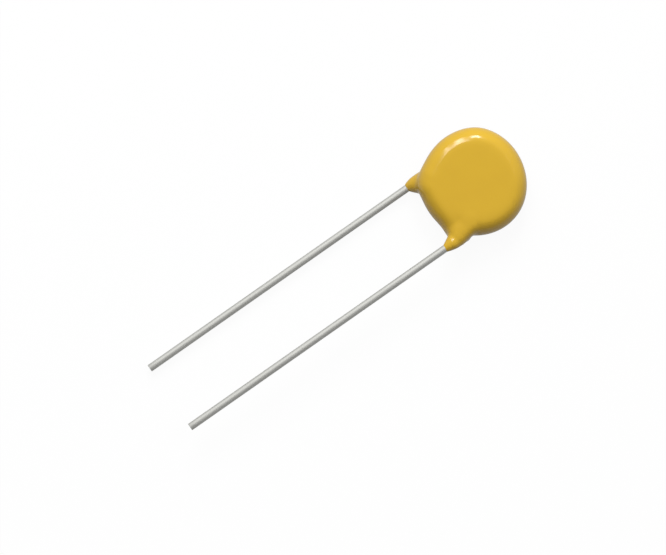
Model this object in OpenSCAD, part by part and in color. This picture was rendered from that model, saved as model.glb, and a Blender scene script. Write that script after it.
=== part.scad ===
// Leaded disc varistor: a zinc-oxide ceramic disc with a fired silver electrode on each
// face, a tinned copper lead soldered to each electrode, and a dipped epoxy coating.
//
// Millimetres. The part lies on its back face, as it comes to rest: +Z is up and out of
// the front face, +Y runs away from the leads, and +X runs from the back lead to the
// front lead. The origin is the middle of the part's box, on the surface it lies on.

/* [Ceramic disc] */
// Diameter of the ceramic disc
disc_d = 10; // [8:0.5:14]
// Thickness of the ceramic disc
disc_t = 1.8; // [1:0.1:3]
// Bevel along both edges of the disc
disc_bevel = 0.15; // [0.05:0.05:0.4]

/* [Electrodes] */
// Width of the bare ceramic ring around each electrode
electrode_margin = 0.8; // [0.5:0.1:1.5]
// Thickness of the fired silver
electrode_t = 0.02; // [0.01:0.01:0.1]

/* [Leads] */
// Diameter of the lead wire
lead_d = 0.8; // [0.6:0.05:1]
// Distance between the two leads, centre to centre
lead_pitch = 7.5; // [5:0.5:8.5]
// Distance from the disc's centre line to the middle of the two leads
lead_shift = 0.25; // [0:0.05:0.5]
// Length of lead below the coating's lower edge
lead_length = 33.7; // [5:0.1:40]
// Length of straight lead inside the end of the coating, before it curves over the disc
lead_inset = 0.1; // [0.05:0.05:0.5]
// Radius of the curve, at the middle of the wire
curve_r = 9; // [7:0.5:12]
// Angle that the curve turns through, in degrees
curve_turn = 50; // [40:1:60]

/* [Solder joints] */
// Length of each joint along the lead
solder_l = 2.8; // [2:0.1:3.5]
// Width of each joint where it wets the electrode
solder_w = 1.7; // [1.4:0.1:2.4]
// Radius of the blob at each end of a joint
solder_blob_r = 1.05; // [1:0.05:1.4]
// Solder between the lead and the electrode
solder_film = 0.03; // [0.02:0.01:0.1]
// Solder around the lead
solder_skin = 0.05; // [0.03:0.01:0.1]

/* [Coating] */
// Coating outside the disc's edge
coat_side = 0.65; // [0.5:0.05:1]
// Coating over each lead, up to the face
coat_face = 0.3; // [0.3:0.05:0.6]
// Coating around each lead where it runs out over the edge
coat_lead = 0.25; // [0.15:0.05:0.25]
// Height of the lower edge, between the leads, above the round outline's lowest point
skirt_rise = 0.25; // [0.1:0.05:0.6]
// Distance from each lead inwards to where the lower edge turns up
skirt_inset = 1.45; // [1:0.05:1.8]
// Radius of each ear, which leads down to a lead, at its root inside the plate
ear_r = 1.6; // [1.2:0.1:1.8]
// Length of each ear, along the lead
ear_l = 4.7; // [3:0.1:5]
// Distance from each lead inwards to the root of its ear
ear_inset = 1.4; // [1:0.1:2]
// Depth of the skirt's and the ears' crests below each face
crest_drop = 0.15; // [0.1:0.05:0.4]
// Length of the coating's ridge over each lead, above the lower edge
sleeve_l = 2.5; // [2:0.1:3]
// Length of the coating's run down the front lead, below the lower edge
front_run = 1.05; // [0.5:0.05:3]
// Length of the coating's run down the back lead, below the lower edge
back_run = 0.7; // [0.5:0.05:3]
// Coating left around the lead at the end of each run
run_lip = 0.06; // [0.04:0.01:0.1]

/* [Hidden] */
$fn = 72;
run_steps = 6;

// Each side of the disc, and the lead that lies on it
front_x = lead_pitch / 2 + lead_shift;
back_x = lead_pitch / 2 - lead_shift;
lead_r = lead_d / 2;
solder_z = disc_t / 2 + electrode_t;
lead_z = solder_z + solder_film + lead_r;

// The coating is a round plate with a full round edge, a skirt along its lower edge, and
// an ear and a sleeve over each lead
coat_h = lead_z + lead_r + coat_face;
coat_r = disc_d / 2 + coat_side;
plate_r = coat_r - coat_h;
coat_low = coat_r - skirt_rise;
skirt_r = coat_h - crest_drop;
sleeve_r = lead_r + coat_lead;

// Each ear's narrow end is a little smaller than the sleeve, and lies inside it
ear_tip_r = 0.9 * sleeve_r;
ear_tip_y = ear_tip_r / 4 - coat_low;

// The part of each lead's curve that is soldered
solder_turn = solder_l / curve_r * 180 / PI;

// The disc's centre, seen from the part's origin
lie_y = (coat_low + lead_length - coat_r) / 2;

// Puts a piece that is drawn around the disc's centre into its place
module lie() translate([0, lie_y, coat_h]) children();

// Turns what is drawn for the front over to the back
module to_back() rotate([0, 180, 0]) children();

// ---- Leads ----

// The centre of a lead's curve, at the height of the lead. The lead stands at x, and the
// coating runs down it for the length run
module at_curve(x, run) translate([x - curve_r, lead_inset - coat_low - run, lead_z]) children();

module lead(x, run) {
    translate([x, -coat_low - lead_length, lead_z]) rotate([-90, 0, 0])
        cylinder(r = lead_r, h = lead_length - run + lead_inset);
    at_curve(x, run) rotate_extrude(angle = curve_turn)
        translate([curve_r, 0]) circle(r = lead_r);
}

module front_lead() color("silver") lead(front_x, front_run);
module back_lead() color("silver") to_back() lead(back_x, back_run);

// ---- Ceramic disc and electrodes ----

module ceramic_disc() color("dimgray")
    rotate_extrude() polygon([
        [0, -disc_t / 2], [disc_d / 2 - disc_bevel, -disc_t / 2],
        [disc_d / 2, disc_bevel - disc_t / 2], [disc_d / 2, disc_t / 2 - disc_bevel],
        [disc_d / 2 - disc_bevel, disc_t / 2], [0, disc_t / 2]
    ]);

module electrode()
    translate([0, 0, disc_t / 2]) cylinder(r = disc_d / 2 - electrode_margin, h = electrode_t);

module front_electrode() color("gainsboro") electrode();
module back_electrode() color("gainsboro") to_back() electrode();

// ---- Solder joints ----

// A joint's section, around the middle of the wire: a skin round the wire, and a foot
module solder_section() intersection() {
    union() {
        circle(r = lead_r + solder_skin);
        polygon([
            [-solder_w / 2, solder_z - lead_z], [solder_w / 2, solder_z - lead_z],
            [lead_r / 2, 0], [-lead_r / 2, 0]
        ]);
    }
    translate([-solder_w, solder_z - lead_z]) square(2 * solder_w);
}

// A blob that buries the wire, as a cap of a sphere that stands on the electrode
module solder_blob() {
    blob_h = lead_z + lead_r + 2 * solder_skin - solder_z;
    ball_r = (pow(solder_blob_r, 2) + pow(blob_h, 2)) / 2 / blob_h;
    translate([0, 0, solder_z - lead_z]) rotate_extrude() intersection() {
        translate([0, blob_h - ball_r]) circle(r = ball_r);
        square([2 * solder_blob_r, 2 * blob_h]);
    }
}

// The solder of one joint with the wire still in it
module solder_mound(x, run) at_curve(x, run) {
    rotate([0, 0, curve_turn - solder_turn])
        rotate_extrude(angle = solder_turn) translate([curve_r, 0]) solder_section();
    for (turn = [curve_turn - solder_turn, curve_turn])
        rotate([0, 0, turn]) translate([curve_r, 0, 0]) solder_blob();
}

module solder_joint(x, run) difference() {
    solder_mound(x, run);
    lead(x, run);
}

module front_solder() color("darkgray") solder_joint(front_x, front_run);
module back_solder() color("darkgray") to_back() solder_joint(back_x, back_run);

// ---- Coating ----

// The right half of a circle
module half_circle(r) intersection() {
    circle(r = r);
    translate([0, -2 * r]) square([2 * r, 4 * r]);
}

module coating_plate() rotate_extrude() {
    translate([0, -coat_h]) square([plate_r, 2 * coat_h]);
    translate([plate_r, 0]) half_circle(coat_h);
}

// The lower edge between the leads is a bar with round ends
module coating_skirt() {
    back_end = skirt_inset - back_x;
    front_end = front_x - skirt_inset;
    translate([0, skirt_r - coat_low, 0]) rotate([0, 90, 0]) rotate_extrude() {
        translate([0, back_end]) half_circle(skirt_r);
        translate([0, back_end]) square([skirt_r, front_end - back_end]);
        translate([0, front_end]) half_circle(skirt_r);
    }
}

// The coating around one lead: a ridge that thins out as it runs down the wire
module lead_sleeve(x, run) {
    lip_r = lead_r + run_lip;
    translate([x, -coat_low, lead_z]) rotate([90, 0, 0]) rotate_extrude() {
        translate([0, -sleeve_l]) half_circle(sleeve_r);
        translate([0, -sleeve_l]) square([sleeve_r, sleeve_l]);
        polygon(concat([[0, run], [0, 0]], [for (i = [0:run_steps]) let (a = 90 * i / run_steps)
            [lip_r + (sleeve_r - lip_r) * cos(a), run * sin(a)]]));
    }
}

// The slope of the coating from the face down to the lead that stands at x
module lead_ear(x) {
    tip = [x, ear_tip_y, lead_z];
    root = [x - ear_inset, ear_tip_y + ear_l, coat_h - crest_drop - ear_r];
    run = tip - root;
    translate(root) rotate([0, acos(run.z / norm(run)), atan2(run.y, run.x)])
        cylinder(r1 = ear_r, r2 = ear_tip_r, h = norm(run));
}

module epoxy_coating() color("goldenrod") difference() {
    union() {
        coating_plate();
        coating_skirt();
        lead_ear(front_x);
        to_back() lead_ear(back_x);
        lead_sleeve(front_x, front_run);
        to_back() lead_sleeve(back_x, back_run);
    }
    ceramic_disc();
    electrode();
    to_back() electrode();
    solder_mound(front_x, front_run);
    to_back() solder_mound(back_x, back_run);
    lead(front_x, front_run);
    to_back() lead(back_x, back_run);
}

lie() epoxy_coating();
lie() ceramic_disc();
lie() front_electrode();
lie() back_electrode();
lie() front_solder();
lie() back_solder();
lie() front_lead();
lie() back_lead();
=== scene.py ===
# %% [markdown]
# # A leaded disc varistor
#
# A varistor of this kind is a disc of grey ceramic, silvered on both faces, with a tinned
# wire soldered to each face and a coat of yellow epoxy over all of it but the wires' ends.
# It lies on its back face. Its solids and their frame are loaded first, so that every
# piece made below goes where the solids say, and nothing has to be fitted by eye.

# %% Load the frame
import bpy
import numpy as np
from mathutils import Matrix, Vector


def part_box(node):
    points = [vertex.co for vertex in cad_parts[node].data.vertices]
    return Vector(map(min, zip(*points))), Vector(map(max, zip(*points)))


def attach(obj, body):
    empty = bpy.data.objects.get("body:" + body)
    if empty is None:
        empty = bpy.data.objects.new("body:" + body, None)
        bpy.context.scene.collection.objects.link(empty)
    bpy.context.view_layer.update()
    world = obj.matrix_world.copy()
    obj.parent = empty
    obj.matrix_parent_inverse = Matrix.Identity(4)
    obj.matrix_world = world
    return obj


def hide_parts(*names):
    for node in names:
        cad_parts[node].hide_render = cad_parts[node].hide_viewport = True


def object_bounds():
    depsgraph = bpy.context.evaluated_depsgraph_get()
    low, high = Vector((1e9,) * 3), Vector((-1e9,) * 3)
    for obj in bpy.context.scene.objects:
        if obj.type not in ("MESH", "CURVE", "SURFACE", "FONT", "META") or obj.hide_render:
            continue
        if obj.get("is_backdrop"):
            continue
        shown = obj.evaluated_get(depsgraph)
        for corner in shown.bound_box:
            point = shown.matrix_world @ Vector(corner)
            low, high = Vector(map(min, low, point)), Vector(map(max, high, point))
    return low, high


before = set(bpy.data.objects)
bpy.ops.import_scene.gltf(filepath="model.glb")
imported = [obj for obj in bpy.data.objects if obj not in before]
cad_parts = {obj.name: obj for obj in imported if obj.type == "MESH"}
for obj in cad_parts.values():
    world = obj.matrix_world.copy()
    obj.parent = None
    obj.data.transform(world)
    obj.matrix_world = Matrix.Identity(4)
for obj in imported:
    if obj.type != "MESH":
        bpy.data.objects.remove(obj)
solid_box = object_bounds()
print("nodes:", ", ".join(sorted(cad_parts)))

# %% [markdown]
# ## Where the disc and its leads are
#
# Blender's unit here is the metre, which is clumsy for a part as large as a fingernail. So
# all shapes are worked out in millimetres from the disc's centre, with x from the back
# lead to the front lead, y away from the leads' free ends, and z out of the front face.
# The boxes of the solids say how big each thing is, and where it is.

# %% Read the sizes off the solids
MM = 0.001

def node_box(node):
    """The lowest and highest corners of a solid, in millimetres."""
    return [np.array(corner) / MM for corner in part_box(node)]

ceramic_low, ceramic_high = node_box("ceramic_disc")
CENTRE = (ceramic_low + ceramic_high) / 2

coat_low, coat_high = node_box("epoxy_coating")
COAT_R = (coat_high[0] - coat_low[0]) / 2
COAT_H = (coat_high[2] - coat_low[2]) / 2
print(f"disc centre at {np.round(CENTRE, 3)} mm, coat {2 * COAT_R:.2f} x {2 * COAT_H:.2f} mm")

# %% [markdown]
# The two leads lie against opposite faces, so one is high and the other low. Each one's
# box ends on the outer side of its wire, which gives the line of its axis.

# %% Find the two leads
def lead_box(side):
    """The corners of a lead's box, from the disc's centre."""
    return [corner - CENTRE for corner in node_box(f"{side}_lead")]

front_low, front_high = lead_box("front")
back_low, back_high = lead_box("back")
WIRE_R = (front_high[2] - front_low[2]) / 2
LEADS = {
    "front": (front_high[0] - WIRE_R, (front_low[2] + front_high[2]) / 2),
    "back": (back_low[0] + WIRE_R, (back_low[2] + back_high[2]) / 2),
}
for side, (x, z) in LEADS.items():
    print(f"{side} lead: {2 * WIRE_R:.2f} mm wire at x {x:.2f}, z {z:.2f}")

# %% [markdown]
# ## The coat as a distance field
#
# The disc is dipped in liquid epoxy and cured, so the coat has no edges at all. It is
# drawn tight over the disc, swells over each wire, and thins out along it. It could be
# sculpted, or built from metaballs, but then its sizes would be hard to read back. Here it
# is a distance field: a function that says how far a point is from the skin, with a minus
# sign inside. Simple forms are joined by a soft blend, which fills the corner between two
# of them as wet epoxy does.

# %% Blend two fields
def blend(a, b, reach):
    """Joins two fields, with a fillet about as wide as the reach."""
    near = np.clip(reach - np.abs(a - b), 0, None) / reach
    return np.minimum(a, b) - near * near * reach / 4

# %% [markdown]
# The main form is a round plate. Its edge is half an ellipse, longer than it is high,
# because surface tension pulls the liquid off the disc's sharp corners. While the coat
# sets, the part hangs by its leads and the liquid runs. So the outline is no true circle:
# it swells a little in three places and bulges at a few more, and the slope of the edge
# is longer on the side of the leads. All this is between a few hundredths of a millimetre
# and a third of one, but a glossy coat shows it, and a perfect form would look machined.

# %% The plate
SWELL = 0.09            # height of the three swells round the outline
SWELL_TURN = 18         # where the first of them is, in degrees from the x axis
SLOPE = 1.6             # from the outline in to the flat face
LONG_SLOPE = 0.35       # how much longer that is where the liquid ran
LONG_TURN = 285         # and where that is, in degrees
LONG_NARROW = 1.5       # a lobe's power: the higher, the narrower it is
ROUNDING = 0.8          # how softly the flat face turns into the slope
RIM_SPARE = 0.12        # what that rounding takes off the outline
TUCK = 0.15             # how far the plate keeps inside the skirt, at its lower edge
TUCK_TURN = 270
TUCK_NARROW = 4
BULGES = (              # the other bulges, and dips: degrees, height and power
    (140, 0.08, 20),
    (204, -0.04, 20),
    (229, 0.20, 60),
    (286, 0.06, 30),
)
OFF_CENTRE = (0.02, 0.05)  # where the plate's middle is, from the disc's centre

def lobe(turn, at, narrow):
    """1 in one direction, falling to 0 a quarter turn from it, and sooner if it is narrow."""
    return np.clip(np.cos(turn - np.radians(at)), 0, None) ** narrow

def plate_field(p):
    """A round plate with a long, soft edge."""
    x, y = p[0] - OFF_CENTRE[0], p[1] - OFF_CENTRE[1]
    turn = np.arctan2(y, x)
    swell = SWELL * np.cos(3 * (turn - np.radians(SWELL_TURN)))
    bulge = sum(height * lobe(turn, at, narrow) for at, height, narrow in BULGES)
    tuck = TUCK * lobe(turn, TUCK_TURN, TUCK_NARROW)
    slope = SLOPE + LONG_SLOPE * lobe(turn, LONG_TURN, LONG_NARROW)
    out = np.hypot(x, y) - (COAT_R + RIM_SPARE + swell + bulge - tuck - slope)
    out = (out + np.hypot(out, ROUNDING)) / 2
    return np.hypot(out * COAT_H / slope, p[2]) - COAT_H

print(f"plate: {len(BULGES)} bulges and dips, edge {SLOPE} to {SLOPE + LONG_SLOPE:.2f} mm long")

# %% [markdown]
# The other forms are all bars with round ends, which may be thicker at one end. The field
# of such a bar is the distance to a cone that touches both end spheres.

# %% The round-ended bar
def bar_field(p, start, end, start_r, end_r):
    """A bar with round ends, whose radius may change along it."""
    start, end = np.array(start, float), np.array(end, float)
    axis = end - start
    length = np.linalg.norm(axis)
    axis /= length
    taper = (start_r - end_r) / length
    level = np.sqrt(1 - taper * taper)
    q = p - start.reshape(3, *[1] * (p.ndim - 1))
    along = np.tensordot(axis, q, 1)
    out = np.sqrt(np.clip((q * q).sum(0) - along * along, 0, None))
    cone = out * level + along * taper - start_r
    nearest = along - out * taper / level
    cone = np.where(nearest < 0, np.hypot(out, along) - start_r, cone)
    return np.where(nearest > length, np.hypot(out, along - length) - end_r, cone)

# %% [markdown]
# Between the leads the coat hangs down in a skirt, because the liquid bridges the gap
# between the two wires. It is one bar along the lower edge. Its section is an ellipse,
# which comes from stretching y before the bar's field is read.

# %% The skirt
SKIRT_Y = -3.95         # the middle of the skirt
SKIRT_DROP = 1.46       # from there to its lower edge
SKIRT_H = 1.85          # and half its thickness
SKIRT_TAPER = 0.01      # how much thinner that is at the front end
SKIRT = {
    "start": (-2.0, -3.80, 0),
    "end": (2.9, -3.97, 0),
    "start_r": SKIRT_H,
    "end_r": SKIRT_H - SKIRT_TAPER,
}
SKIRT_FILLET = 0.3

def skirt_field(p):
    """A bar along the lower edge whose section is an ellipse."""
    stretched = SKIRT_Y + (p[1] - SKIRT_Y) * SKIRT_H / SKIRT_DROP
    return bar_field(np.stack([p[0], stretched, p[2]]), **SKIRT)

print(f"skirt: {2 * SKIRT_H:.2f} mm thick, down to y {SKIRT_Y - SKIRT_DROP:.2f}")

# %% [markdown]
# Over each wire the coat makes an ear. A broad fold leads down into it from the face, a
# ridge covers the wire, and the run thins out along the wire to a lip. On the front wire
# the liquid has gathered in a drop, a little before the lip. Each end of a form is given
# by how far it lies in from the wire's axis, by its y, and by how far it stands out from
# that axis, away from the disc's middle plane. Then come the form's two radii and its
# fillet. No two dips run alike, so the two ears differ a little.

# %% The ears
EARS = {
    "front": {
        "fold": ((1.10, -2.40, -0.80), (0.60, -4.35, -0.42), 1.38, 0.97, 0.4),
        "ridge": ((0.45, -2.70, -0.35), (0.05, -5.00, -0.22), 0.85, 0.70, 0.4),
        "drop": ((0.00, -5.40, -0.02), (-0.02, -5.70, 0.00), 0.62, 0.51, 0.25),
        "run": ((0.22, -4.60, -0.50), (-0.02, -6.20, 0.00), 0.93, 0.43, 0.3),
    },
    "back": {
        "fold": ((1.10, -2.40, -0.80), (0.60, -4.35, -0.42), 1.38, 0.97, 0.4),
        "ridge": ((0.45, -2.70, -0.35), (0.15, -5.00, -0.10), 0.85, 0.66, 0.5),
        "run": ((0.36, -4.50, -0.30), (-0.02, -5.70, 0.00), 0.83, 0.44, 0.75),
    },
}

def at_lead(side, point):
    """A point given from a wire's axis, turned to its side of the disc."""
    x, z = LEADS[side]
    inward, y, outward = point
    return (x - np.sign(x) * inward, y, z + np.sign(z) * outward)

# %% [markdown]
# The whole coat joins them one after the other. Last, the field is blended with the space
# between the two face planes, by the same fillet turned inside out, so that no form
# stands above the faces and none leaves a crease where it meets them.

# %% The whole coat
FACE_FILLET = 0.2

def coat_field(p):
    """How far a point is from the coat, in millimetres."""
    field = blend(plate_field(p), skirt_field(p), SKIRT_FILLET)
    for side, forms in EARS.items():
        for start, end, start_r, end_r, fillet in forms.values():
            bar = bar_field(p, at_lead(side, start), at_lead(side, end), start_r, end_r)
            field = blend(field, bar, fillet)
    return -blend(-field, COAT_H - np.abs(p[2]), FACE_FILLET)

print("coat: a plate, a skirt and", sum(len(forms) for forms in EARS.values()), "forms over the wires")

# %% [markdown]
# ## From the field to a mesh
#
# Blender shows meshes, so the field has to be turned into one. The metaball and volume
# tools could do it, but they leave steps that a glossy coat shows at once. The way used
# here is called surface nets. The field is read on a grid. Every cell that the skin
# passes through gets one point, and every grid line that crosses the skin gets one
# four-sided face, between the points of the four cells round it.

# %% Number the cells that the skin passes through
def crossed_cells(inside):
    """The number of each crossed cell, or -1, from the inside of the grid's corners."""
    i, j, k = np.array(inside.shape) - 1
    corners = sum(inside[a:i + a, b:j + b, c:k + c].astype(int)
                  for a in (0, 1) for b in (0, 1) for c in (0, 1))
    crossed = (corners > 0) & (corners < 8)
    number = np.full(crossed.shape, -1)
    number[crossed] = np.arange(crossed.sum())
    return number

# %% Make the faces
def net_faces(inside, number):
    """A face round each grid line that crosses the skin, turned to look outwards."""
    faces = []
    for along in range(3):
        across, up = (along + 1) % 3, (along + 2) % 3
        first, last = np.delete(inside, -1, along), np.delete(inside, 0, along)
        lines = np.argwhere(first != last)
        ring = []
        for step_across, step_up in ((0, 0), (-1, 0), (-1, -1), (0, -1)):
            cells = lines.copy()
            cells[:, across] += step_across
            cells[:, up] += step_up
            ring.append(number[tuple(cells.T)])
        ring = np.stack(ring, axis=1)
        leaving = first[tuple(lines.T)]
        faces += [ring[leaving], ring[~leaving][:, ::-1]]
    return np.concatenate(faces)

# %% [markdown]
# The points start in the middle of their cells, which would leave the grid's steps on the
# skin. So each one is then moved along the slope of the field until the field is 0 there,
# as in Newton's method. A few rounds bring it to the skin as exactly as the numbers allow.

# %% Pull the points onto the skin
SLOPE_STEP = 0.01       # millimetres between the points that a slope is read from
ROUNDS = 6
SPARE_CELLS = 2.5       # room between the box and the grid's edge

def slope_of(field, points):
    """How the field grows along x, y and z, at each point."""
    moves = np.eye(3)[:, :, None] * SLOPE_STEP
    return np.stack([field(points + move) - field(points - move) for move in moves]) / (2 * SLOPE_STEP)

def skin(field, low, high, cell):
    """The points and the faces of the skin of a field, within a box."""
    spare = SPARE_CELLS * cell
    axes = [np.arange(a - spare, b + spare + cell / 2, cell) for a, b in zip(low, high)]
    inside = field(np.stack(np.meshgrid(*axes, indexing="ij"))) < 0
    number = crossed_cells(inside)
    cells = np.argwhere(number >= 0).T
    points = np.stack([axis[index] + cell / 2 for axis, index in zip(axes, cells)])
    for _ in range(ROUNDS):
        slope = slope_of(field, points)
        points = points - field(points) * slope / (slope * slope).sum(0)
    print(f"the points are within {np.abs(field(points)).max():.6f} mm of the skin")
    return points.T, net_faces(inside, number)

# %% [markdown]
# A grid of 0.09 mm is finer than any bend of the coat, and still keeps the mesh light.

# %% Make the coat
CELL = 0.09
RUN_REACH = 1.2         # from the outline to a little past the end of the longer run

def add_mesh(name, points, faces):
    """A smooth-shaded object, from points in millimetres from the disc's centre."""
    mesh = bpy.data.meshes.new(name)
    mesh.from_pydata(((points + CENTRE) * MM).tolist(), [], [list(face) for face in faces])
    mesh.shade_smooth()
    piece = bpy.data.objects.new(name, mesh)
    bpy.context.scene.collection.objects.link(piece)
    print(f"{name}: {len(mesh.vertices)} points, {len(mesh.polygons)} faces")
    return piece

reach = COAT_R + SWELL
low_corner, high_corner = (-reach, -COAT_R - RUN_REACH, -COAT_H), (reach, reach, COAT_H)
coating = add_mesh("coating_skin", *skin(coat_field, low_corner, high_corner, CELL))
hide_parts("epoxy_coating")
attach(coating, "root")

# %% [markdown]
# ## The leads
#
# Each lead is copper wire, tinned, drawn to size and sheared off. It runs straight out of
# the coat, and inside it bends inwards over the disc's face to its solder. A curve object
# with a round bevel could make it. Here rings of points are laid along its path and joined,
# because that gives the exact radius and a true edge at the cut end.

# %% Lay rings along a wire
WIRE_SIDES = 64
CUT_EDGE = 0.03         # how far the shear rounds the end over
EDGE_TURNS = (0, 30, 60, 90)  # the steps of that rounding, in degrees
BEND_R = 9              # radius of the curve over the disc, at the middle of the wire
BEND_TURN = 50          # how far it turns, in degrees
BEND_RINGS = 25
STRAIGHT_RINGS = 30

def wire_rings(side):
    """The rings of points of a wire, from its cut end to its end over the disc."""
    x, z = LEADS[side]
    out = np.sign(x)
    low, high = lead_box(side)
    tip_y = low[1]
    bend_y = high[1] - (BEND_R + WIRE_R) * np.sin(np.radians(BEND_TURN))
    around = np.linspace(0, 2 * np.pi, WIRE_SIDES, endpoint=False)
    wide, tall = np.cos(around), np.sin(around)
    rings = []
    for turn in np.radians(EDGE_TURNS):
        r = WIRE_R - CUT_EDGE * (1 - np.sin(turn))
        y = tip_y + CUT_EDGE * (1 - np.cos(turn))
        rings.append((x + r * wide, y, z + r * tall))
    for y in np.linspace(tip_y, bend_y, STRAIGHT_RINGS)[1:]:
        rings.append((x + WIRE_R * wide, y, z + WIRE_R * tall))
    for turn in np.radians(np.linspace(0, BEND_TURN, BEND_RINGS)[1:]):
        r = BEND_R + WIRE_R * wide * out
        rings.append((x - out * (BEND_R - r * np.cos(turn)), bend_y + r * np.sin(turn), z + WIRE_R * tall))
    return [np.stack(np.broadcast_arrays(*ring), axis=1) for ring in rings]

# %% Join the rings into a closed skin
def add_wire(side):
    """One lead: a face between each two rings, and a flat cap at each end."""
    rings = wire_rings(side)
    number = np.arange(len(rings) * WIRE_SIDES).reshape(len(rings), WIRE_SIDES)
    turned = np.roll(number, -1, axis=1)
    walls = np.stack([number[:-1], number[1:], turned[1:], turned[:-1]], axis=-1).reshape(-1, 4)
    caps = [number[0], number[-1][::-1]]
    wire = add_mesh(f"{side}_wire", np.concatenate(rings), caps + list(walls))
    for cap in wire.data.polygons[:len(caps)]:
        cap.use_smooth = False
    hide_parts(f"{side}_lead")
    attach(wire, "root")
    return wire

wires = [add_wire(side) for side in LEADS]

# %% [markdown]
# ## Helpers for the materials
#
# Colours are picked as sRGB hex codes, as on any screen, but Blender mixes light in linear
# values, so one function turns the first into the second. Another adds a shader node, sets
# its properties and sockets, and links its inputs, which keeps each material to a few lines.

# %% Turn colours to linear, and add nodes
def srgb(code):
    """An sRGB hex colour as linear red, green, blue and alpha."""
    parts = [int(code[i:i + 2], 16) / 255 for i in (1, 3, 5)]
    return [c / 12.92 if c <= 0.04045 else ((c + 0.055) / 1.055) ** 2.4 for c in parts] + [1]

def add(tree, kind, settings=None, links=None, **properties):
    """Adds a node, with the values of its sockets, the links into them, and its properties."""
    node = tree.nodes.new(kind)
    for name, value in properties.items():
        setattr(node, name, value)
    for socket, value in (settings or {}).items():
        node.inputs[socket].default_value = value
    for socket, source in (links or {}).items():
        tree.links.new(source, node.inputs[socket])
    return node

def empty_tree(holder):
    """The node tree of a material or a world, emptied."""
    holder.use_nodes = True
    holder.node_tree.nodes.clear()
    return holder.node_tree

# %% [markdown]
# Most finishes below have a grain: something that repeats about once in so many
# millimetres, and wanders. Blender's noise does that. Its scale is the number of grains in
# a metre, so the helper works it out from the real size.

# %% Make a grain of a real size
def grain(tree, size, detail=2, stretch=(1, 1, 1)):
    """A noise whose grains are that many millimetres, times the stretch along each axis."""
    place = add(tree, "ShaderNodeTexCoord")
    density = [1 / (size * MM * along) for along in stretch]
    spread = add(tree, "ShaderNodeMapping", {"Scale": density}, {"Vector": place.outputs["Object"]})
    noise = add(tree, "ShaderNodeTexNoise", {"Scale": 1, "Detail": detail},
                {"Vector": spread.outputs["Vector"]})
    return noise.outputs["Fac"]

def two_tones(tree, factor, first, second):
    """A colour that wanders between two, as the factor does."""
    mix = add(tree, "ShaderNodeMix", {6: srgb(first), 7: srgb(second)}, {0: factor}, data_type="RGBA")
    return mix.outputs[2]

def bumps(tree, height, depth):
    """A normal whose bumps are that many millimetres deep."""
    bump = add(tree, "ShaderNodeBump", {"Distance": depth * MM}, {"Height": height})
    return bump.outputs["Normal"]

def finish(tree, colour, normal, settings):
    """The shader and the output that close every material."""
    shader = add(tree, "ShaderNodeBsdfPrincipled", settings, {"Base Color": colour, "Normal": normal})
    add(tree, "ShaderNodeOutputMaterial", links={"Surface": shader.outputs["BSDF"]})

# %% [markdown]
# ## Dipped epoxy
#
# The coat is epoxy resin filled with mineral powder and a yellow pigment. It levelled by
# itself as a liquid and then set, so it is glossy, with clear and soft-edged highlights.
# The filler makes it opaque and clouds the colour very slightly, over a millimetre or
# more. Where it shrank as it cured it has a faint orange peel. An IOR of 1.56 is typical
# of epoxy.

# %% Epoxy
CLOUD = 2.5             # millimetres across a cloud in the colour
PEEL = 0.8              # millimetres from one dimple of the peel to the next
PEEL_DEPTH = 0.003

epoxy = bpy.data.materials.new("dipped_yellow_epoxy")
tree = empty_tree(epoxy)
finish(tree, two_tones(tree, grain(tree, CLOUD, detail=3), "#cea420", "#d4ab22"),
       bumps(tree, grain(tree, PEEL, detail=1), PEEL_DEPTH), {"Roughness": 0.16, "IOR": 1.56})
coating.data.materials.append(epoxy)
print("coat:", epoxy.name)

# %% [markdown]
# ## Tinned copper
#
# The leads are soft copper wire with a coat of tin, drawn through a die. The tin is dull
# silver, brighter than steel and a little warm. The die leaves fine lines along the wire,
# about 0.02 mm apart. They would be too fine to show, so they are drawn 0.1 mm apart here,
# and all they do is to spread the reflections, with a rather high roughness.

# %% Tinned wire
DIE_LINES = 0.1         # millimetres between the lines, drawn coarser than they are
LINE_LENGTH = 60        # how much longer than wide a line is
LINE_DEPTH = 0.001

tinned = bpy.data.materials.new("drawn_tinned_copper")
tree = empty_tree(tinned)
lines = grain(tree, DIE_LINES, detail=1, stretch=(1, LINE_LENGTH, 1))
finish(tree, two_tones(tree, lines, "#bebeba", "#c6c6c2"), bumps(tree, lines, LINE_DEPTH),
       {"Metallic": 1, "Roughness": 0.7})
for wire in wires:
    wire.data.materials.append(tinned)
print("leads:", tinned.name)

# %% [markdown]
# ## What the coat hides
#
# Nobody sees these pieces, unless the coat is cut or cracked off to look inside. Their
# solids have the right form as they are, so they stay, and only get their finishes.
#
# The disc is zinc oxide powder, pressed and fired: a dark grey ceramic, matt, with grains
# far below a millimetre. They are drawn at 0.15 mm. An IOR of 2.0 is typical of zinc oxide.

# %% Sintered ceramic
def dress(nodes, material):
    """Gives the material to the solids of these nodes."""
    for node in nodes:
        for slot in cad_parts[node].material_slots:
            slot.material = material
    print(", ".join(nodes) + ":", material.name)

CERAMIC_GRAIN = 0.15
GRAIN_DEPTH = 0.01

ceramic = bpy.data.materials.new("sintered_zinc_oxide")
tree = empty_tree(ceramic)
grains = grain(tree, CERAMIC_GRAIN, detail=4)
finish(tree, two_tones(tree, grains, "#2f3230", "#4a4d49"), bumps(tree, grains, GRAIN_DEPTH),
       {"Roughness": 0.7, "IOR": 2.0})
dress(["ceramic_disc"], ceramic)

# %% [markdown]
# Each electrode is silver paste, screened onto the ceramic and fired. It is pale and dull,
# because the fired film is slightly porous, and it keeps the print of the screen's mesh,
# which had about eight threads to the millimetre. A product of two waves draws that mesh.
# At scale 1, each wave of Blender's wave texture is a tenth of pi long.

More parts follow.
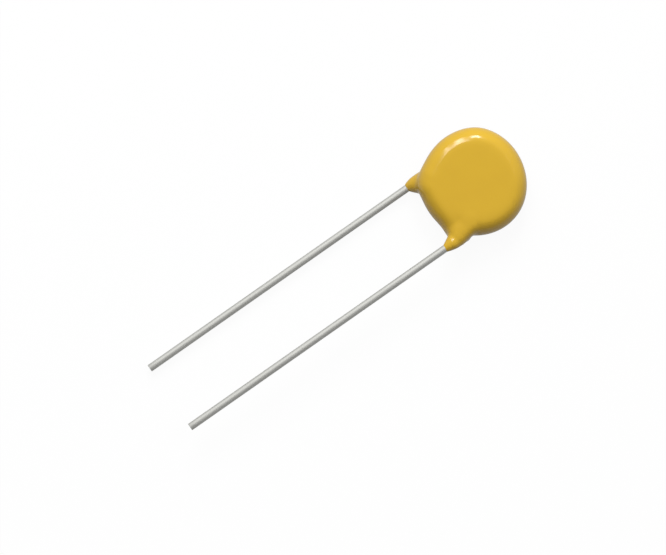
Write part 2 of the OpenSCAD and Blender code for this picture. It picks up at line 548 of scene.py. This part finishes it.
# %% Fired silver
SCREEN_PITCH = 0.125
PRINT_DEPTH = 0.004
SILVER_CLOUD = 0.4
WAVE_LENGTH = np.pi / 10

silver = bpy.data.materials.new("screened_fired_silver")
tree = empty_tree(silver)
place = add(tree, "ShaderNodeTexCoord")
waves = [add(tree, "ShaderNodeTexWave", {"Scale": WAVE_LENGTH / (SCREEN_PITCH * MM), "Distortion": 0},
             {"Vector": place.outputs["Object"]}, bands_direction=axis) for axis in "XY"]
mesh_print = add(tree, "ShaderNodeMath", links={0: waves[0].outputs["Fac"], 1: waves[1].outputs["Fac"]},
                 operation="MULTIPLY")
finish(tree, two_tones(tree, grain(tree, SILVER_CLOUD), "#c9c8c2", "#d9d8d2"),
       bumps(tree, mesh_print.outputs["Value"], PRINT_DEPTH), {"Metallic": 1, "Roughness": 0.5})
dress(["front_electrode", "back_electrode"], silver)

# %% [markdown]
# The solder is tin with a little silver. It wetted the wire and froze with a bright skin,
# in which the tin's crystals show as flat patches about 0.3 mm across, each at its own
# slight tilt. A Voronoi pattern gives such patches, and its edges make the steps.

# %% Solder
CRYSTAL = 0.3
CRYSTAL_STEP = 0.01

solder = bpy.data.materials.new("frozen_tin_solder")
tree = empty_tree(solder)
place = add(tree, "ShaderNodeTexCoord")
crystals = add(tree, "ShaderNodeTexVoronoi", {"Scale": 1 / (CRYSTAL * MM)},
               {"Vector": place.outputs["Object"]})
finish(tree, two_tones(tree, grain(tree, CRYSTAL), "#bfc2c4", "#cfd1d2"),
       bumps(tree, crystals.outputs["Distance"], CRYSTAL_STEP), {"Metallic": 1, "Roughness": 0.3})
dress(["front_solder", "back_solder"], solder)

# %% [markdown]
# ## The floor
#
# The part lies on a white sheet. If lamps alone made the sheet white, they would burn out
# the part's colours. So the camera and glass see it glow white, at strength 1, with a
# share of plain paper mixed in, which is what takes the part's soft shadow. Mirrors see
# a share of that white. All other light meets a grey sheet, so that little of it comes up
# under the part.

# %% A share of white for the rays that see the background
def seen_share(tree, mirrored):
    """1 for the camera and through glass, a part of it in mirrors, and 0 for other light."""
    path = add(tree, "ShaderNodeLightPath")
    seen = add(tree, "ShaderNodeMath", {1: mirrored},
               {0: path.outputs["Is Glossy Ray"], 2: path.outputs["Is Camera Ray"]},
               operation="MULTIPLY_ADD")
    either = add(tree, "ShaderNodeMath", operation="MAXIMUM",
                 links={0: seen.outputs["Value"], 1: path.outputs["Is Transmission Ray"]})
    return either.outputs["Value"]

# %% Lay the sheet
SHEET = 3               # metres from the middle to each edge
SHADOW = 0.06           # share of plain paper in the white, which takes the shadow
MIRRORED = 0.5          # how much of the white a mirror sees in the sheet

sheet_corners = [(-SHEET, -SHEET, 0), (SHEET, -SHEET, 0), (SHEET, SHEET, 0), (-SHEET, SHEET, 0)]
sheet_mesh = bpy.data.meshes.new("floor")
sheet_mesh.from_pydata(sheet_corners, [], [(0, 1, 2, 3)])
sheet = bpy.data.objects.new("floor", sheet_mesh)
bpy.context.scene.collection.objects.link(sheet)
sheet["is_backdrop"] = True

paper = bpy.data.materials.new("white_paper")
tree = empty_tree(paper)
white = add(tree, "ShaderNodeEmission", {"Color": srgb("#ffffff"), "Strength": 1})
plain = add(tree, "ShaderNodeBsdfDiffuse", {"Color": srgb("#f3f3f3")})
grey = add(tree, "ShaderNodeBsdfDiffuse", {"Color": srgb("#959595")})
seen = add(tree, "ShaderNodeMixShader", {0: SHADOW}, {1: white.outputs[0], 2: plain.outputs[0]})
sheet_look = add(tree, "ShaderNodeMixShader",
                 links={0: seen_share(tree, MIRRORED), 1: grey.outputs[0], 2: seen.outputs[0]})
add(tree, "ShaderNodeOutputMaterial", links={"Surface": sheet_look.outputs[0]})
sheet_mesh.materials.append(paper)
print(f"sheet: {2 * SHEET} m square")

# %% [markdown]
# ## The light
#
# A round, glossy thing shows the whole room. The soft light here comes from one side, as
# from pale walls round a window, and fades evenly towards the other. That leaves the far
# edge of the coat brown and splits each wire into a light and a dark half. A picture of a
# room could be wrapped round the scene, but here the world's strength is worked out from
# the direction, which needs no picture and has only a few numbers to set. Mirrors see a
# share of white in it, as they do in the sheet.

# %% The room
WINDOW_SIDE = (-0.71, 0.71, 0)
FADE = 0.7              # how far towards each side the light still changes
DIM, BRIGHT = 0.07, 0.69  # the strength on the far side, and on the window's side
ROOM_MIRRORED = 0.3     # how much of the white a mirror sees in the room

world = bpy.data.worlds.new("soft_room")
bpy.context.scene.world = world
tree = empty_tree(world)
place = add(tree, "ShaderNodeTexCoord")
facing = add(tree, "ShaderNodeVectorMath", {1: WINDOW_SIDE}, {0: place.outputs["Generated"]},
             operation="DOT_PRODUCT")
level = add(tree, "ShaderNodeMapRange",
            {"From Min": -FADE, "From Max": FADE, "To Min": DIM, "To Max": BRIGHT},
            {"Value": facing.outputs["Value"]})
strength = add(tree, "ShaderNodeMix", {3: 1},
               {0: seen_share(tree, ROOM_MIRRORED), 2: level.outputs["Result"]}, data_type="FLOAT")
room = add(tree, "ShaderNodeBackground", {"Color": srgb("#ffffff")}, {"Strength": strength.outputs[0]})
add(tree, "ShaderNodeOutputWorld", links={"Surface": room.outputs["Background"]})
print(f"room: {DIM} to {BRIGHT}")

# %% [markdown]
# A wide lamp high up beyond the disc fills the face. It is a sun, whose light comes from
# one direction, softened over 25 degrees. It stays out of mirrors, because its own
# highlight isn't wanted.

# %% Aim a lamp
def towards(azimuth, elevation):
    """A direction, from its turn round z and its height, in degrees."""
    turn, rise = np.radians((azimuth, elevation))
    return Vector((np.cos(rise) * np.cos(turn), np.cos(rise) * np.sin(turn), np.sin(rise)))

def add_lamp(name, kind, azimuth, elevation, distance):
    """A lamp that shines on the disc from that direction."""
    lamp = bpy.data.objects.new(name, bpy.data.lights.new(name, kind))
    bpy.context.scene.collection.objects.link(lamp)
    direction = towards(azimuth, elevation)
    lamp.location = Vector(CENTRE * MM) + direction * distance
    lamp.rotation_euler = direction.to_track_quat("Z", "Y").to_euler()
    return lamp

# %% The key lamp
LAMP_DISTANCE = 0.5     # metres, for every lamp
KEY_FROM = (90, 55)
KEY_SPREAD = 25
KEY_STRENGTH = 0.45     # watts on each square metre

key = add_lamp("key", "SUN", *KEY_FROM, LAMP_DISTANCE)
key.data.energy = KEY_STRENGTH
key.data.angle = np.radians(KEY_SPREAD)
key.visible_glossy = False
print("key lamp from", np.round(towards(*KEY_FROM), 2))

# %% [markdown]
# The highlights on the coat are small pictures of what lit it. A short bright softbox makes
# the short streak, and a window with two panes makes the longer arc beside it, which is
# broken in two. All three are area lamps, sized by the angle they fill as seen from the
# disc. The power of such a lamp is its area times its glow times pi, which adds up the
# light that leaves it in all directions, so the power follows from how many times brighter
# than white each one has to look.

# %% The softbox and the window
SOFTBOXES = {           # azimuth, elevation, width and height in degrees, and times white
    "short_box": (142, 39, 11.5, 22, 15.5),
    "wide_pane": (167, 49, 7.5, 42, 10.5),
    "narrow_pane": (185.5, 51, 4, 42, 8),
}

def add_softbox(name, azimuth, elevation, wide, high, times_white):
    """A square-cornered lamp that fills so many degrees, and glows so many times as white."""
    box = add_lamp(name, "AREA", azimuth, elevation, LAMP_DISTANCE)
    box.data.shape = "RECTANGLE"
    box.data.size, box.data.size_y = 2 * LAMP_DISTANCE * np.tan(np.radians((wide, high)) / 2)
    area = box.data.size * box.data.size_y
    box.data.energy = times_white * np.pi * area
    box.visible_camera = False
    print(f"{name}: {box.data.energy:.3f} W")

for name, numbers in SOFTBOXES.items():
    add_softbox(name, *numbers)

# %% [markdown]
# ## The camera
#
# It looks straight down with a long lens, from so far off that there is hardly any
# perspective, and it is turned so that the leads run to the lower left. An orthographic
# camera would do nearly as well, but a real lens keeps the slight lean of a real view.

# %% Camera
VIEW_FROM_CENTRE = (-0.267, -17.779)    # millimetres, in x and y
VIEW_HEIGHT = 0.8                       # metres
VIEW_TURN = 55                          # degrees
LENS = 409.7                            # millimetres

camera = bpy.data.objects.new("camera", bpy.data.cameras.new("camera"))
bpy.context.scene.collection.objects.link(camera)
camera.location = (*((CENTRE[:2] + VIEW_FROM_CENTRE) * MM), VIEW_HEIGHT)
camera.rotation_euler = (0, 0, np.radians(VIEW_TURN))
camera.data.lens = LENS
bpy.context.scene.camera = camera
bpy.context.scene.view_settings.view_transform = "Standard"
print("camera at", np.round(camera.location, 4))

# %% [markdown]
# ## Print the sizes
#
# Both boxes are printed: the one of the solids, and the one of what was made here. What
# was made here has to keep to the size of the solids.

# %% Finish
dressed_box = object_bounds()
for name, box in (("solids", solid_box), ("dressed", dressed_box)):
    print(name, "size in mm:", [round((b - a) / MM, 2) for a, b in zip(*box)])
